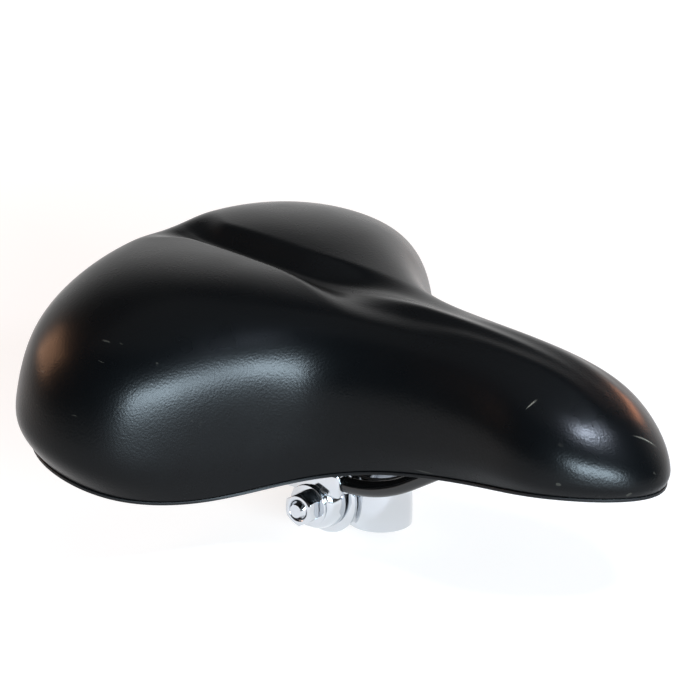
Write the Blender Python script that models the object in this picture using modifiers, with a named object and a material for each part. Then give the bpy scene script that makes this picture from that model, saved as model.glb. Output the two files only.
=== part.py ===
# Bicycle saddle: a padded seat on a moulded pan, a bent wire rail and a seat-post clip.
# Metres, +Z up, nose towards +X, rider's left towards +Y.
# The origin is on the seat-post axis, at the height of the clamp bolt.

import math

import bmesh
import bpy
from mathutils import Matrix, Vector

MM = 0.001

# Seat, overall
SADDLE_LENGTH = 274 * MM        # cage length; the smooth skin is about 5 mm shorter
SADDLE_WIDTH = 242 * MM         # cage width across the lobes; the skin is about 3 mm narrower
POST_TO_TAIL = 128 * MM         # seat-post axis to the rear of the cage

# Half of the plan from the middle of the tail round to the nose tip. Each row: share of the length,
# share of the half width, then in mm the height of the edge, of the crown and the foam on the pan.
# A cage point stands a little outside the smooth skin that it pulls on.
STATIONS = (
    (0.015, 0.000, 36.0, 94.5, 27.0),
    (0.004, 0.360, 35.0, 94.0, 30.0),
    (0.020, 0.680, 32.0, 94.5, 31.0),
    (0.110, 0.894, 26.5, 94.5, 32.0),
    (0.259, 0.900, 17.5, 91.5, 32.0),
    (0.354, 0.652, 13.0, 84.5, 29.0),
    (0.435, 0.367, 19.5, 80.0, 25.0),
    (0.567, 0.261, 27.5, 79.0, 22.0),
    (0.744, 0.247, 31.5, 75.5, 19.0),
    (0.860, 0.329, 36.5, 63.5, 14.0),
    (1.026, 0.000, 31.8, 62.0, 20.0),
)
# Floor of the channel along the middle: share of the length, height in mm.
SPINE = (
    (0.100, 101.0), (0.145, 99.0), (0.210, 96.0), (0.299, 93.5), (0.404, 93.0),
    (0.513, 92.0), (0.645, 89.5), (0.818, 80.5), (0.906, 66.0),
)
# Rings of the padded form, edge to crown: share of the way out from the spine, share of the height,
# and the share of the height at the nose tip, which slopes back.
SEAT_RINGS = (
    (1.035, 0.00, 0.00), (1.12, 0.16, 0.06), (1.11, 0.33, 0.11), (1.04, 0.73, 0.18),
    (0.81, 0.99, 0.42), (0.52, 1.12, 0.70), (0.18, 1.11, 1.01),
)
SURFACE_LEVEL = 1               # subdivisions of every cage

# Layers
COVER_WALL = 2.0 * MM           # vinyl cover
PAN_WALL = 2.6 * MM             # moulded pan
EDGE_FOAM = 4.5 * MM            # foam beside the pan at its edge
LIP = 1.2 * MM                  # pan edge standing out past the cover
GAP = 0.3 * MM                  # between neighbouring pieces
LAYER_GAP = 0.4 * MM            # between the curved layers

# Rings of the pan above its edge: share outwards, extra inset in mm, share of the pan's height.
PAN_RINGS = ((1.03, 1.0, 0.45), (0.97, 2.5, 0.86), (0.80, 3.0, 1.00), (0.56, 2.0, 1.04), (0.30, 0.0, 1.04))

# Rail wire
RAIL_DIAMETER = 7.0 * MM
RAIL_SPACING = 43.0 * MM        # between the two runs, centre to centre, in the clamp
RAIL_RISE = 11.0 * MM           # rail centre above the bolt
RUN_BACK = 46.0 * MM            # straight run behind the post axis
RUN_FRONT = 0.5 * MM            # straight run ahead of it
SOCKET_INSET = 26.0 * MM        # rail end ahead of the tail
SOCKET_SPACING = 64.0 * MM      # between the two rear sockets
SOCKET_HEIGHT = 46.0 * MM
SOCKET_RUN = 16.0 * MM          # straight end of the wire in its socket
NOSE_INSET = 44.0 * MM          # front of the loop behind the nose tip
NOSE_ROOM = 4.4 * MM            # between the front loop and the pan's edge line beside it
NOSE_HEIGHT = 43.0 * MM
CLIMB_ANGLE = math.radians(30)  # rise from the clamp towards the nose
CLAMP_BEND = 58.0 * MM          # bend radius of the wire ahead of the clamp
RAIL_BEND = 24.0 * MM           # where it levels out under the nose
REAR_BEND = 16.0 * MM           # and behind it
REAR_EASE = 0.55                # share of the rear bend radius that each rear corner takes up

# Rear sockets
BUSH_WALL = 2.2 * MM
BUSH_LENGTH = 13.0 * MM
COLLAR_STEP = 1.5 * MM          # bush collar standing out past the sleeve
COLLAR_LENGTH = 2.0 * MM
SOCKET_WALL = 3.2 * MM
RIB_WALL = 2.0 * MM
RIB_CLEARANCE = 4.0 * MM        # ribs stay this far above the rail ends

# Nose fixing
CLIP_PLATE = 2.0 * MM
CLIP_LENGTH = 30.0 * MM
CLIP_COVER = 0.6                # share of the wire's radius that the clip and the pad cover beside it
SCREW_DIAMETER = 4.2 * MM
SCREW_HEAD = 8.4 * MM
SCREW_HEAD_HEIGHT = 2.4 * MM
SCREW_REACH = 9.0 * MM          # thread above the clip
SCREW_PITCH = 12.0 * MM

# Seat-post band
POST_DIAMETER = 22.2 * MM
BAND_WALL = 2.6 * MM
BAND_HEIGHT = 24.0 * MM
EAR_WALL = 3.2 * MM
EAR_STEP = 1.7 * MM             # ear face inside the band's outer side; two teeth fill it
POST_TO_BOLT = 2.4 * MM         # metal-free space between the post and the bolt

# Clamp stack on the bolt
BOLT_DIAMETER = 8.0 * MM
TOOTH_COUNT = 42
TOOTH_BORE = 6.2 * MM           # inner radius of the toothed rings
PLATE_RADIUS = 16.0 * MM
PLATE_WALL = 3.0 * MM
CUP_RADIUS = 12.6 * MM
CUP_WALL = 2.3 * MM
CUP_STEP = 0.2 * MM             # flat face of the cup outside the rail seat
CRADLE_WALL = 1.8 * MM
CRADLE_LENGTH = 30.0 * MM
WASHER_RADIUS = 9.3 * MM
WASHER_WALL = 1.2 * MM
NUT_ACROSS_FLATS = 13.0 * MM
NUT_HEIGHT = 6.5 * MM
BOLT_OVERHANG = 1.5 * MM        # thread showing past each nut

ROUND = 32                      # sides of a large turned piece
SMALL_ROUND = 24                # sides of a small one

# Places that follow from the sizes above
HALF_WIDTH = SADDLE_WIDTH / 2
RAIL_RADIUS = RAIL_DIAMETER / 2
RAIL_Y = RAIL_SPACING / 2
POST_RADIUS = POST_DIAMETER / 2
BAND_RADIUS = POST_RADIUS + BAND_WALL
BOLT_RADIUS = BOLT_DIAMETER / 2
BOLT_X = -(POST_RADIUS + POST_TO_BOLT + BOLT_RADIUS)
EAR_FACE = BAND_RADIUS - EAR_STEP
TOOTH_HEIGHT = EAR_STEP / 2
EAR_RADIUS = BAND_HEIGHT / 2
PLATE_INNER = BAND_RADIUS + GAP
PLATE_OUTER = PLATE_INNER + PLATE_WALL
CUP_RIM = PLATE_OUTER + 4 * GAP
SEAT_OUTER = RAIL_Y + RAIL_RADIUS + GAP + CRADLE_WALL
CUP_OUTER = SEAT_OUTER + CUP_STEP
NUT_INNER = CUP_OUTER + WASHER_WALL + 2 * GAP
NUT_OUTER = NUT_INNER + NUT_HEIGHT
NOSE_X = SADDLE_LENGTH - POST_TO_TAIL - NOSE_INSET
SOCKET_X = -POST_TO_TAIL + SOCKET_INSET
BUSH_RADIUS = RAIL_RADIUS + GAP + BUSH_WALL
PAN_INSET = COVER_WALL + LAYER_GAP + EDGE_FOAM
NOSE_HALF = SEAT_RINGS[0][0] * STATIONS[-3][1] * HALF_WIDTH - PAN_INSET - PAN_WALL
NOSE_LOOP = 2 * (NOSE_HALF - RAIL_RADIUS - NOSE_ROOM)   # width of the front loop, centre to centre
CLIP_FRONT = NOSE_X + RAIL_RADIUS
CLIP_BACK = CLIP_FRONT - CLIP_LENGTH
CLIP_HALF = NOSE_LOOP / 2 + RAIL_RADIUS * CLIP_COVER
CORE_FRONT = NOSE_X - RAIL_RADIUS - 2 * GAP

COLUMNS = len(STATIONS)
LAST = COLUMNS - 1


def clear_scene():
    for item in list(bpy.data.objects):
        bpy.data.objects.remove(item, do_unlink=True)


def new_collection(name):
    collection = bpy.data.collections.new(name)
    bpy.context.scene.collection.children.link(collection)
    return collection


def material(name, colour, roughness, metallic=0.0):
    """A plain Principled material; colour is linear red, green, blue."""
    made = bpy.data.materials.new(name)
    made.use_nodes = True
    shader = made.node_tree.nodes["Principled BSDF"]
    shader.inputs["Base Color"].default_value = (*colour, 1.0)
    shader.inputs["Roughness"].default_value = roughness
    shader.inputs["Metallic"].default_value = metallic
    made.diffuse_color = (*colour, 1.0)
    return made


def add_object(name, mesh, collection):
    item = bpy.data.objects.new(name, mesh)
    collection.objects.link(item)
    return item


def object_from(bm, name, collection):
    """Turn a bmesh into an object and free it."""
    mesh = bpy.data.meshes.new(name)
    bm.to_mesh(mesh)
    bm.free()
    return add_object(name, mesh, collection)


def as_cutter(item):
    item.hide_render = True
    item.display_type = "WIRE"
    return item


def bake(item):
    """Apply an object's modifiers, or turn a curve into a welded mesh."""
    depsgraph = bpy.context.evaluated_depsgraph_get()
    mesh = bpy.data.meshes.new_from_object(item.evaluated_get(depsgraph))
    bm = bmesh.new()
    bm.from_mesh(mesh)
    bpy.data.meshes.remove(mesh)
    bmesh.ops.transform(bm, matrix=item.matrix_world, verts=bm.verts)
    bmesh.ops.remove_doubles(bm, verts=bm.verts, dist=0.01 * MM)
    name = item.name
    collection = item.users_collection[0]
    bpy.data.objects.remove(item, do_unlink=True)
    return object_from(bm, name, collection)


def boolean(item, other, operation):
    """Add an exact Boolean; the other object stays hidden among the cutters."""
    step = item.modifiers.new(operation.lower() + "_" + other.name, "BOOLEAN")
    step.operation = operation
    step.object = as_cutter(other)
    step.solver = "EXACT"
    return item


def bevel(item, width, segments=2, angle=35):
    step = item.modifiers.new("rounded_edges", "BEVEL")
    step.width = width
    step.segments = segments
    step.limit_method = "ANGLE"
    step.angle_limit = math.radians(angle)
    return item


def shade(item, angle=35):
    item.data.shade_smooth()
    item.data.set_sharp_from_angle(angle=math.radians(angle))
    return item


def across(side):
    """Matrix that lays a shape turned about Z along the bolt, towards one side."""
    return Matrix.Translation((BOLT_X, 0, 0)) @ Matrix.Rotation(-side * math.pi / 2, 4, "X")


def turned(name, profile, sides, matrix, collection):
    """Revolve a closed profile of (radius, height) points, outer side downwards, about Z."""
    bm = bmesh.new()
    corners = [bm.verts.new((radius, 0, height)) for radius, height in profile]
    for start, end in zip(corners, corners[1:] + corners[:1]):
        bm.edges.new((start, end))
    item = object_from(bm, name, collection)
    screw = item.modifiers.new("turning", "SCREW")
    screw.angle = 2 * math.pi
    screw.steps = sides
    screw.render_steps = sides
    screw.use_merge_vertices = True
    screw.merge_threshold = 0.01 * MM
    item = bake(item)
    item.data.transform(matrix)
    return item


def cylinder(name, radius, length, centre, axis, collection, sides=SMALL_ROUND):
    """A closed cylinder about a centre, along X, Y or Z."""
    bm = bmesh.new()
    bmesh.ops.create_cone(bm, cap_ends=True, segments=sides, radius1=radius, radius2=radius, depth=length)
    turn = {"X": Matrix.Rotation(math.pi / 2, 4, "Y"), "Y": Matrix.Rotation(math.pi / 2, 4, "X")}
    matrix = Matrix.Translation(centre) @ turn.get(axis, Matrix.Identity(4))
    bmesh.ops.transform(bm, matrix=matrix, verts=bm.verts)
    return object_from(bm, name, collection)


def block(name, low, high, collection):
    """A box between two corners."""
    bm = bmesh.new()
    bmesh.ops.create_cube(bm, size=1.0)
    low, high = Vector(low), Vector(high)
    size = high - low
    for vert in bm.verts:
        vert.co = low + Vector((size[axis] * (vert.co[axis] + 0.5) for axis in range(3)))
    return object_from(bm, name, collection)


def plate(name, outline, low, high, collection):
    """A flat outline in plan, as a filled curve, between two heights."""
    curve = bpy.data.curves.new(name, "CURVE")
    curve.dimensions = "2D"
    curve.fill_mode = "BOTH"
    curve.extrude = (high - low) / 2
    spline = curve.splines.new("POLY")
    spline.points.add(len(outline) - 1)
    for point, (x, y) in zip(spline.points, outline):
        point.co = (x, y, 0, 1)
    spline.use_cyclic_u = True
    item = add_object(name, curve, collection)
    item.location.z = (low + high) / 2
    bpy.context.view_layer.update()
    return bake(item)


def arc(centre, radius, start, end, steps):
    """Points of an arc in plan, angles in radians, ends included."""
    angles = (start + (end - start) * k / steps for k in range(steps + 1))
    return [(centre[0] + radius * math.cos(a), centre[1] + radius * math.sin(a)) for a in angles]


def slot_outline(back, front, half_width, steps=8):
    """Plan outline with a square back and a round front."""
    nose = arc((front - half_width, 0), half_width, -math.pi / 2, math.pi / 2, steps)
    return nose + [(back, half_width), (back, -half_width)]


# The padded form and the pan

def plan_x(share):
    return share * SADDLE_LENGTH - POST_TO_TAIL


def spine_column(column):
    """Spine point that a column closes towards."""
    return min(max(column, 1), LAST - 1)


def cage_point(column, side, share, inset, height):
    """A cage point: out from the spine by a share of the way to the inset outline."""
    length_share, width_share = STATIONS[column][:2]
    hub = Vector((plan_x(SPINE[spine_column(column) - 1][0]), 0))
    reach = Vector((plan_x(length_share), side * width_share * HALF_WIDTH)) - hub
    spot = hub + reach * share * (1 - inset / reach.length)
    return (spot.x, spot.y, height)


def cage(name, rings, spine_heights, collection, sharp_ring=None):
    """Quad cage through rings of (share, inset, heights), from the edge up, closed over the spine."""
    bm = bmesh.new()
    grid = {}
    for j, (share, inset, heights) in enumerate(rings):
        for i in range(COLUMNS):
            grid[i, j, -1] = bm.verts.new(cage_point(i, -1, share, inset, heights[i]))
            on_middle = i in (0, LAST)
            grid[i, j, 1] = grid[i, j, -1] if on_middle else bm.verts.new(
                cage_point(i, 1, share, inset, heights[i]))
    spine = {}
    for i in range(1, LAST):
        spine[i] = bm.verts.new((plan_x(SPINE[i - 1][0]), 0, spine_heights[i - 1]))
    top = len(rings) - 1
    for side in (-1, 1):
        turn = -side
        for i in range(LAST):
            for j in range(top):
                low = [grid[i, j, side], grid[i + 1, j, side]]
                quad = low + [grid[i + 1, j + 1, side], grid[i, j + 1, side]]
                bm.faces.new(quad[::turn])
        for i in range(1, LAST - 1):
            quad = [grid[i, top, side], grid[i + 1, top, side], spine[i + 1], spine[i]]
            bm.faces.new(quad[::turn])
    bm.faces.new([grid[0, top, -1], grid[1, top, -1], spine[1], grid[1, top, 1]])
    bm.faces.new([grid[LAST, top, -1], grid[LAST - 1, top, 1], spine[LAST - 1], grid[LAST - 1, top, -1]])
    if sharp_ring is not None:
        crease = bm.edges.layers.float.new("crease_edge")
        for i in range(LAST):
            for side in (-1, 1):
                edge = bm.edges.get((grid[i, sharp_ring, side], grid[i + 1, sharp_ring, side]))
                edge[crease] = 1.0
    item = object_from(bm, name, collection)
    smooth = item.modifiers.new("smooth_form", "SUBSURF")
    smooth.levels = SURFACE_LEVEL
    smooth.render_levels = SURFACE_LEVEL
    facets = item.modifiers.new("facets", "TRIANGULATE")
    facets.quad_method = "SHORTEST_DIAGONAL"
    return item


def heights_between(low, high, share):
    return [a + share * (b - a) for a, b in zip(low, high)]


def seat_cage(name, collection):
    """The padded form that the cover shows."""
    edge = [row[2] * MM + PAN_WALL + LAYER_GAP for row in STATIONS]
    crown = [row[3] * MM for row in STATIONS]
    rings = []
    for share, rise, tip_rise in SEAT_RINGS:
        heights = heights_between(edge, crown, rise)
        heights[LAST] = edge[LAST] + tip_rise * (crown[LAST] - edge[LAST])
        rings.append((share, 0.0, heights))
    return cage(name, rings, [height * MM for _, height in SPINE], collection)


def pan_cage(name, collection, with_flange=True):
    """The pan's upper surface, with or without the flange that the foam stands on."""
    edge = [row[2] * MM + PAN_WALL for row in STATIONS]
    crown = [(row[3] - row[4]) * MM for row in STATIONS]
    edge_share = SEAT_RINGS[0][0]
    rings = [(edge_share, -LIP, edge)] if with_flange else []
    rings.append((edge_share, PAN_INSET, edge))
    for share, inset, rise in PAN_RINGS:
        rings.append((share, PAN_INSET + inset * MM, heights_between(edge, crown, rise)))
    spine = [(height - STATIONS[i + 1][4]) * MM for i, (_, height) in enumerate(SPINE)]
    return cage(name, rings, spine, collection, sharp_ring=1 if with_flange else None)


def solidify(item, wall, even):
    shell = item.modifiers.new("wall", "SOLIDIFY")
    shell.thickness = wall
    shell.offset = -1.0
    shell.use_even_offset = even
    return item


def surface_mesh(item, shift):
    """Baked copy of an open surface as a bmesh, moved along its normals."""
    item = bake(item)
    bm = bmesh.new()
    bm.from_mesh(item.data)
    bpy.data.objects.remove(item, do_unlink=True)
    bm.normal_update()
    moves = [vert.normal * shift for vert in bm.verts]
    for vert, move in zip(bm.verts, moves):
        vert.co += move
    return bm


def make_cover(parts):
    cover = solidify(seat_cage("cover_skin", parts), COVER_WALL, even=False)
    cover.data.materials.append(material("black_vinyl", (0.012, 0.012, 0.013), 0.42))
    return cover


def make_foam(parts, work):
    """Foam between the cover and the pan: both surfaces, joined round the edge."""
    outer = surface_mesh(seat_cage("foam_outside", work), -(COVER_WALL + LAYER_GAP))
    inner = surface_mesh(pan_cage("foam_inside", work, with_flange=False), LAYER_GAP)
    for vert in inner.verts:
        if vert.is_boundary:
            vert.co.z += LAYER_GAP
    bmesh.ops.reverse_faces(inner, faces=inner.faces)
    joined = bpy.data.meshes.new("foam_surfaces")
    inner.to_mesh(joined)
    inner.free()
    outer.from_mesh(joined)
    bpy.data.meshes.remove(joined)
    rims = [edge for edge in outer.edges if edge.is_boundary]
    bmesh.ops.bridge_loops(outer, edges=rims)
    bmesh.ops.recalc_face_normals(outer, faces=outer.faces)
    foam = object_from(outer, "foam_pad", parts)
    foam.data.materials.append(material("cream_foam", (0.72, 0.66, 0.45), 0.95))
    return foam


def pan_core(work):
    """Solid whose top lies inside the pan's wall: it trims what hangs from the pan."""
    bm = surface_mesh(pan_cage("pan_core", work, with_flange=False), -PAN_WALL / 2)
    rim = [edge for edge in bm.edges if edge.is_boundary]
    skirt = bmesh.ops.extrude_edge_only(bm, edges=rim)["geom"]
    lower = [item for item in skirt if isinstance(item, bmesh.types.BMVert)]
    for vert in lower:
        vert.co.z = -BAND_HEIGHT
    loop = [item for item in skirt if isinstance(item, bmesh.types.BMEdge) and item.is_boundary]
    bmesh.ops.edgeloop_fill(bm, edges=loop)
    bmesh.ops.recalc_face_normals(bm, faces=bm.faces)
    return as_cutter(object_from(bm, "pan_core", work))


def socket_bosses(work, reach):
    """Blocks under the tail that hold the rail ends."""
    half = BUSH_RADIUS + GAP + SOCKET_WALL
    back = SOCKET_X - SOCKET_WALL - GAP
    bosses = []
    for side in (-1, 1):
        y = side * SOCKET_SPACING / 2
        low = (back, y - half, SOCKET_HEIGHT - half)
        high = (SOCKET_X + BUSH_LENGTH, y + half, reach)
        bosses.append(bevel(block("socket_boss", low, high, work), 1.5 * MM))
    return bosses


def pan_ribs(work, reach):
    """Stiffening ribs: one across between the sockets, two forward from them."""
    bottom = SOCKET_HEIGHT + RAIL_RADIUS + RIB_CLEARANCE
    front = SOCKET_X + BUSH_LENGTH
    half = SOCKET_SPACING / 2
    ribs = [block("cross_rib", (front - 2 * RIB_WALL, -half, bottom), (front - RIB_WALL, half, reach), work)]
    for side in (-1, 1):
        y = side * half
        low = (front - RIB_WALL, y - RIB_WALL / 2, bottom)
        ribs.append(block("long_rib", low, (-BAND_RADIUS, y + RIB_WALL / 2, reach), work))
    return ribs


def nose_mounts(work, reach):
    """Pad over the front loop and the core that fills the inside of the loop."""
    core_half = NOSE_LOOP / 2 - RAIL_RADIUS - 2 * GAP
    core_low = NOSE_HEIGHT - RAIL_RADIUS
    pad_low = NOSE_HEIGHT + RAIL_RADIUS + GAP
    core = plate("nose_core", slot_outline(CLIP_BACK, CORE_FRONT, core_half), core_low, reach, work)
    pad = plate("nose_pad", slot_outline(CLIP_BACK, CLIP_FRONT, CLIP_HALF), pad_low, reach, work)
    return [core, pad]


def make_pan(parts, work):
    pan = solidify(pan_cage("base_shell", parts), PAN_WALL, even=True)
    core = pan_core(work)
    reach = STATIONS[1][3] * MM
    for fitting in socket_bosses(work, reach) + pan_ribs(work, reach) + nose_mounts(work, reach):
        fitting = boolean(fitting, core, "INTERSECT")
        boolean(pan, fitting, "UNION")
    for side in (-1, 1):
        depth = BUSH_LENGTH + SOCKET_WALL
        centre = (SOCKET_X + depth / 2, side * SOCKET_SPACING / 2, SOCKET_HEIGHT)
        bore = cylinder("socket_bore", BUSH_RADIUS + GAP, depth, centre, "X", work)
        boolean(pan, bore, "DIFFERENCE")
    for x in screw_places():
        depth = NOSE_HEIGHT / 2
        centre = (x, 0, screw_tip() + GAP - depth / 2)
        boolean(pan, cylinder("screw_hole", SCREW_DIAMETER / 2 + GAP, depth, centre, "Z", work), "DIFFERENCE")
    pan.data.materials.append(material("black_polypropylene", (0.02, 0.02, 0.021), 0.55))
    return pan


# Rails

def rail_corners():
    """Corners of the wire's left half, from the rear end to the front loop."""
    climb = (NOSE_HEIGHT - RAIL_RISE) / math.tan(CLIMB_ANGLE)
    rear_ease = REAR_EASE * REAR_BEND
    front = RUN_FRONT + CLAMP_BEND * math.tan(CLIMB_ANGLE / 2)
    return [
        Vector((SOCKET_X, SOCKET_SPACING / 2, SOCKET_HEIGHT)),
        Vector((SOCKET_X + SOCKET_RUN + rear_ease, SOCKET_SPACING / 2, SOCKET_HEIGHT)),
        Vector((-RUN_BACK - rear_ease, RAIL_Y, RAIL_RISE)),
        Vector((front, RAIL_Y, RAIL_RISE)),
        Vector((front + climb, NOSE_LOOP / 2, NOSE_HEIGHT)),
        Vector((NOSE_X, NOSE_LOOP / 2, NOSE_HEIGHT)),
    ]


def rounded(corners, radii, steps=6):
    """Replace each inner corner by an arc of its radius."""
    path = [corners[0]]
    for before, corner, after, radius in zip(corners, corners[1:], corners[2:], radii):
        back, ahead = (before - corner).normalized(), (after - corner).normalized()
        half = back.angle(ahead) / 2
        centre = corner + (back + ahead).normalized() * (radius / math.sin(half))
        start = corner + back * (radius / math.tan(half)) - centre
        end = corner + ahead * (radius / math.tan(half)) - centre
        sweep = math.pi - 2 * half
        for k in range(steps + 1):
            turn = sweep * k / steps
            swept = start * math.sin(sweep - turn) + end * math.sin(turn)
            path.append(centre + swept / math.sin(sweep))
    path.append(corners[-1])
    return path


def rail_path():
    left = rail_corners()
    right = [Vector((point.x, -point.y, point.z)) for point in reversed(left)]
    loop = NOSE_LOOP / 2 - GAP
    bends = [REAR_BEND, REAR_BEND, CLAMP_BEND, RAIL_BEND]
    return rounded(left + right, bends + [loop, loop] + bends[::-1])


def make_rail(parts):
    curve = bpy.data.curves.new("rail_wire", "CURVE")
    curve.dimensions = "3D"
    curve.bevel_depth = RAIL_RADIUS
    curve.bevel_resolution = 3
    curve.use_fill_caps = True
    path = rail_path()
    spline = curve.splines.new("POLY")
    spline.points.add(len(path) - 1)
    for point, spot in zip(spline.points, path):
        point.co = (*spot, 1)
    rail = bake(add_object("rail_wire", curve, parts))
    rail.data.materials.append(material("black_enamelled_steel", (0.01, 0.01, 0.01), 0.25, 0.6))
    return shade(rail)


def make_bush(name, side, parts):
    """Rubber sleeve on a rail end, with a collar outside the socket."""
    bore = RAIL_RADIUS + GAP
    collar = BUSH_RADIUS + COLLAR_STEP
    tail, mouth = GAP, BUSH_LENGTH + GAP
    end = mouth + COLLAR_LENGTH
    profile = [
        (bore, end), (collar, end), (collar, mouth), (BUSH_RADIUS, mouth), (BUSH_RADIUS, tail), (bore, tail),
    ]
    matrix = Matrix.Translation((SOCKET_X, side * SOCKET_SPACING / 2, SOCKET_HEIGHT))
    matrix = matrix @ Matrix.Rotation(math.pi / 2, 4, "Y")
    bush = turned(name, profile, SMALL_ROUND, matrix, parts)
    bush.data.materials.append(material("black_rubber", (0.015, 0.015, 0.015), 0.8))
    return shade(bush)


def clip_top():
    """Upper face of the nose clip, just under the loop."""
    return NOSE_HEIGHT - RAIL_RADIUS - GAP


def screw_tip():
    return clip_top() + SCREW_REACH


def screw_places():
    middle = (CLIP_BACK + CORE_FRONT) / 2
    return (middle - SCREW_PITCH / 2, middle + SCREW_PITCH / 2)


def make_nose_clip(parts, work):
    """Pressed steel plate that holds the front loop up against the pan."""
    outline = slot_outline(CLIP_BACK, CLIP_FRONT, CLIP_HALF)
    clip = plate("nose_clip", outline, clip_top() - CLIP_PLATE, clip_top(), parts)
    bevel(clip, 0.5 * MM, segments=1)
    for x in screw_places():
        centre = (x, 0, clip_top() - CLIP_PLATE / 2)
        hole = cylinder("clip_hole", SCREW_DIAMETER / 2 + GAP, 3 * CLIP_PLATE, centre, "Z", work)
        boolean(clip, hole, "DIFFERENCE")
    clip.data.materials.append(material("zinc_steel", (0.55, 0.56, 0.58), 0.35, 1.0))
    return clip


def make_nose_screw(name, x, parts):
    """One of the two screws that hold the clip."""
    under = clip_top() - CLIP_PLATE - GAP
    head = SCREW_HEAD / 2
    shank = SCREW_DIAMETER / 2
    profile = [
        (0.0, screw_tip()), (shank * 0.4, screw_tip()), (shank, screw_tip() - 1.5 * MM),
        (shank, under), (head, under), (head * 0.9, under - SCREW_HEAD_HEIGHT * 2 / 3),
        (head * 0.5, under - SCREW_HEAD_HEIGHT), (0.0, under - SCREW_HEAD_HEIGHT),
    ]
    screw = turned(name, profile, SMALL_ROUND // 2, Matrix.Translation((x, 0, 0)), parts)
    screw.data.materials.append(material("zinc_screw", (0.5, 0.5, 0.52), 0.3, 1.0))
    return shade(screw)


# Seat-post clip

def tooth_ring(name, base, side, towards, work):
    """Ring of radial teeth on a face across the bolt, pointing towards +1 or against -1 the side."""
    bm = bmesh.new()
    count = 2 * TOOTH_COUNT
    root = TOOTH_HEIGHT
    rows = []
    for radius in (TOOTH_BORE, EAR_RADIUS - GAP):
        for height in (-root, None):
            row = []
            for k in range(count):
                angle = 2 * math.pi * k / count
                tip = TOOTH_HEIGHT * (k % 2) if height is None else height
                row.append(bm.verts.new((radius * math.cos(angle), radius * math.sin(angle), tip)))
            rows.append(row)
    bore_low, bore_top, rim_low, rim_top = rows
    for k in range(count):
        n = (k + 1) % count
        bm.faces.new([bore_top[k], rim_top[k], rim_top[n], bore_top[n]])
        bm.faces.new([rim_top[k], rim_low[k], rim_low[n], rim_top[n]])
        bm.faces.new([rim_low[k], bore_low[k], bore_low[n], rim_low[n]])
        bm.faces.new([bore_low[k], bore_top[k], bore_top[n], bore_low[n]])
    place = Matrix.Translation((0, side * base, 0)) @ across(side * towards)
    bmesh.ops.transform(bm, matrix=place, verts=bm.verts)
    bmesh.ops.recalc_face_normals(bm, faces=bm.faces)
    return object_from(bm, name, work)


def bolt_hole(name, work):
    length = 4 * NUT_OUTER
    return cylinder(name, BOLT_RADIUS + GAP, length, (BOLT_X, 0, 0), "Y", work, SMALL_ROUND)


def band_outline():
    """Plan of the band: the ring round the post, open behind, with its two ears."""
    ear_back = BOLT_X - EAR_RADIUS
    ear_inside = EAR_FACE - EAR_WALL
    outer = math.pi - math.asin(EAR_FACE / BAND_RADIUS)
    inner = math.pi - math.asin(ear_inside / POST_RADIUS)
    ring = arc((0, 0), BAND_RADIUS, outer, -outer, ROUND * 3 // 4)
    bore = arc((0, 0), POST_RADIUS, -inner, inner, ROUND * 3 // 4)
    return [(ear_back, EAR_FACE)] + ring + [(ear_back, -EAR_FACE), (ear_back, -ear_inside)] + bore + [
        (ear_back, ear_inside)]


def make_band(parts, work):
    """Pressed band with toothed ears; the post goes up its bore."""
    half = BAND_HEIGHT / 2
    band = plate("clamp_band", band_outline(), -half, half, parts)
    ears = slot_outline(-2 * BAND_RADIUS, -BOLT_X + EAR_RADIUS, EAR_RADIUS, 16)
    ears = [(-x, y) for x, y in ears][::-1]
    envelope = plate("ear_envelope", ears, -2 * EAR_FACE, 2 * EAR_FACE, work)
    envelope.data.transform(Matrix.Rotation(math.pi / 2, 4, "X"))
    boolean(band, envelope, "INTERSECT")
    for side, name in ((1, "left"), (-1, "right")):
        boolean(band, tooth_ring("ear_teeth_" + name, EAR_FACE, side, 1, work), "UNION")
    boolean(band, bolt_hole("band_hole", work), "DIFFERENCE")
    band.data.materials.append(material("chrome_band", (0.75, 0.76, 0.78), 0.08, 1.0))
    return band


def cradle(name, low, high, work):
    """Rail seat on a clamp plate: a block beside the rail, between two distances from the middle."""
    half = RAIL_RADIUS + GAP + CRADLE_WALL
    start = (BOLT_X - CRADLE_LENGTH / 2, low, RAIL_RISE - half)
    end = (BOLT_X + CRADLE_LENGTH / 2, high, RAIL_RISE + half)
    return bevel(block(name, start, end, work), 1.6 * MM, segments=2)


def rail_groove(name, work):
    centre = (BOLT_X, RAIL_Y, RAIL_RISE)
    return cylinder(name, RAIL_RADIUS + GAP, 4 * CRADLE_LENGTH, centre, "X", work)


def make_inner_plate(parts, work):
    """Left inner plate: toothed towards the band, with the inner half of the rail seat."""
    edge = PLATE_RADIUS
    soft = 0.8 * MM
    profile = [
        (0.0, PLATE_OUTER), (edge - soft, PLATE_OUTER), (edge, PLATE_OUTER - soft),
        (edge, PLATE_INNER + soft), (edge - soft, PLATE_INNER), (0.0, PLATE_INNER),
    ]
    inner = turned("inner_plate_left", profile, ROUND, across(1), parts)
    seat = cradle("inner_cradle", (PLATE_INNER + PLATE_OUTER) / 2, RAIL_Y - 2 * GAP, work)
    boolean(inner, seat, "UNION")
    boolean(inner, tooth_ring("plate_teeth", PLATE_INNER, 1, -1, work), "UNION")
    boolean(inner, rail_groove("inner_groove", work), "DIFFERENCE")
    boolean(inner, bolt_hole("inner_hole", work), "DIFFERENCE")
    inner.data.materials.append(material("chrome_plate", (0.74, 0.75, 0.77), 0.12, 1.0))
    return inner


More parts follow.
